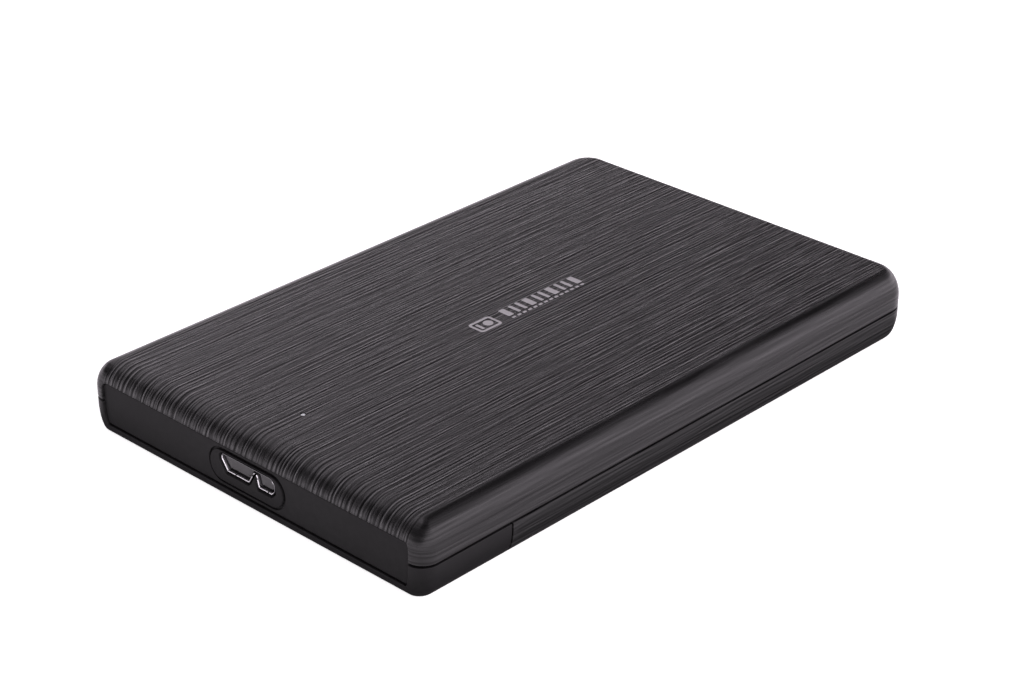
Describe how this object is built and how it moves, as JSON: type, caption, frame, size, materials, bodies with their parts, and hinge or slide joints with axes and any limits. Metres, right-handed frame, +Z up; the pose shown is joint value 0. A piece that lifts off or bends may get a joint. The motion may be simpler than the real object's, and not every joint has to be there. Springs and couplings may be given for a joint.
{
  "type": "hard disk drive",
  "caption": "Flat portable hard disk drive: brushed black shell with a USB micro-B SuperSpeed socket, a cover that slides off, and the spinning-disk drive inside.",
  "frame": {"origin": "centre of the bounding box's footprint, on the surface the drive lies on", "axes": "+Z is up, through the brushed top; +Y runs from the USB socket end to the rear, along the length, and is the way the cover slides off; +X is to the right when facing the rear"},
  "size_m": [0.081, 0.125, 0.0126],
  "materials": {
    "brushed_black": "dark grey ABS with fine moulded brushed lines, satin",
    "matte_black": "smooth matte black ABS",
    "steel": "plated sheet steel",
    "black_plastic": "black glass-filled plastic",
    "board_green": "glass-epoxy circuit board with green solder mask",
    "chip_black": "black moulded chip package",
    "machined_steel": "turned stainless steel",
    "clear_plastic": "clear polycarbonate",
    "foam": "black closed-cell foam",
    "aluminium": "die-cast or machined aluminium",
    "rubber": "black elastomer",
    "label_paper": "plain white printed label",
    "magnet": "nickel-plated neodymium magnet",
    "ivory_plastic": "ivory low-friction plastic",
    "filter_paper": "white filter fleece",
    "amber_film": "amber polyimide film",
    "platter_mirror": "aluminium disk with a mirror-smooth magnetic coating",
    "copper": "enamelled copper winding"
  },
  "bodies": {
    "enclosure": {"top_shell": "brushed_black", "front_base": "brushed_black", "port_panel": "matte_black", "usb_socket_shell": "steel", "usb_socket_insert": "black_plastic", "bridge_board": "board_green", "bridge_chip": "chip_black", "board_screw_left": "machined_steel", "board_screw_right": "machined_steel", "status_led": "clear_plastic", "light_pipe": "clear_plastic", "sata_socket": "black_plastic", "rear_pad": "foam"},
    "cover": {"sliding_cover": "brushed_black"},
    "drive": {"drive_base": "aluminium", "drive_top_cover": "steel", "cover_gasket": "rubber", "drive_label": "label_paper", "cover_screw_1": "machined_steel", "cover_screw_2": "machined_steel", "cover_screw_3": "machined_steel", "cover_screw_4": "machined_steel", "pivot_screw": "machined_steel", "drive_circuit_board": "board_green", "controller_chip": "chip_black", "cache_chip": "chip_black", "motor_driver_chip": "chip_black", "circuit_board_screw_1": "machined_steel", "circuit_board_screw_2": "machined_steel", "circuit_board_screw_3": "machined_steel", "drive_sata_plug": "black_plastic", "motor_stator": "steel", "spindle_sleeve": "machined_steel", "pivot_shaft": "machined_steel", "lower_yoke": "steel", "upper_yoke": "steel", "lower_magnet": "magnet", "upper_magnet": "magnet", "yoke_post_1": "machined_steel", "yoke_post_2": "machined_steel", "parking_ramp": "ivory_plastic", "recirculation_filter": "filter_paper", "flex_bracket": "black_plastic", "flex_cable": "amber_film", "latch_pin": "machined_steel"},
    "rotor": {"spindle_hub": "aluminium", "rotor_magnet": "magnet", "platter_lower": "platter_mirror", "platter_spacer": "aluminium", "platter_upper": "platter_mirror", "disk_clamp": "aluminium", "clamp_screw": "machined_steel"},
    "actuator": {"actuator_arm": "aluminium", "voice_coil": "copper", "head_suspension_1": "steel", "head_suspension_2": "steel", "head_suspension_3": "steel", "head_suspension_4": "steel"},
    "latch": {"inertia_latch": "black_plastic"}
  },
  "joints": [
    {"name": "cover_slide", "type": "slide", "parent": "enclosure", "child": "cover", "axis": [0, 1, 0], "range_m": [0, 0.112]},
    {"name": "drive_slide", "type": "slide", "parent": "enclosure", "child": "drive", "axis": [0, 1, 0], "range_m": [0, 0.0045]},
    {"name": "spindle_spin", "type": "hinge", "parent": "drive", "child": "rotor", "pos_m": [0, 0.0202, 0], "axis": [0, 0, 1], "continuous": true},
    {"name": "actuator_swing", "type": "hinge", "parent": "drive", "child": "actuator", "pos_m": [0.013, -0.02, 0], "axis": [0, 0, -1], "range_deg": [0, 34]},
    {"name": "latch_swing", "type": "hinge", "parent": "drive", "child": "latch", "pos_m": [0.0275, -0.0125, 0], "axis": [0, 0, 1], "range_deg": [0, 12]}
  ]
}
